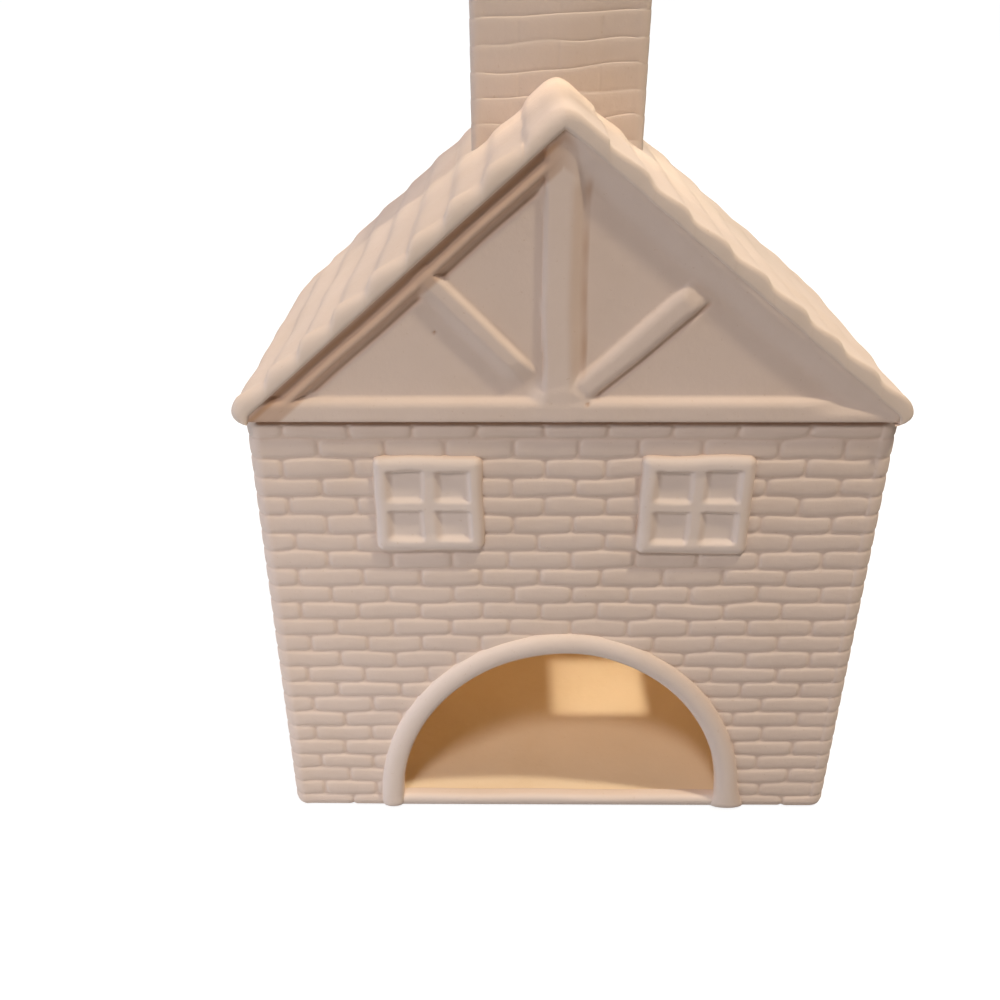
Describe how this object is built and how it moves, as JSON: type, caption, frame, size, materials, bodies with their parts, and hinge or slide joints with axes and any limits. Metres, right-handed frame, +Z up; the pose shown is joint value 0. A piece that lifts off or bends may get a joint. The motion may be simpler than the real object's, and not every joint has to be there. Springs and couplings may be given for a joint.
{
  "type": "house tea light holder",
  "caption": "Bisque pottery house that holds a tea light: brick walls, arched mouth, half-timbered gables, shingled roof and an open chimney flue.",
  "frame": {"origin": "on the ground plane, under the middle of the roof's plan", "axes": "+Z up, the gable front with the mouth faces -Y, +X to the right seen from the front"},
  "size_m": [0.1592, 0.1, 0.23],
  "materials": {
    "bisque_wall": "matte, unglazed",
    "bisque_trim": "matte, unglazed, slightly burnished",
    "bisque_roof": "matte, unglazed",
    "bisque_inner": "matte, unglazed"
  },
  "bodies": {
    "root": {"floor": "bisque_inner", "front_wall": "bisque_wall", "back_wall": "bisque_wall", "wall_left": "bisque_wall", "wall_right": "bisque_wall", "arch_surround": "bisque_trim", "window_left": "bisque_trim", "window_right": "bisque_trim", "gable_panel_front": "bisque_wall", "gable_panel_back": "bisque_wall", "tie_beam_front": "bisque_trim", "tie_beam_back": "bisque_trim", "king_post_front": "bisque_trim", "king_post_back": "bisque_trim", "rafter_left_front": "bisque_trim", "rafter_left_back": "bisque_trim", "rafter_right_front": "bisque_trim", "rafter_right_back": "bisque_trim", "brace_left_front": "bisque_trim", "brace_left_back": "bisque_trim", "brace_right_front": "bisque_trim", "brace_right_back": "bisque_trim", "roof_left": "bisque_roof", "roof_right": "bisque_roof", "chimney": "bisque_wall"}
  },
  "joints": []
}
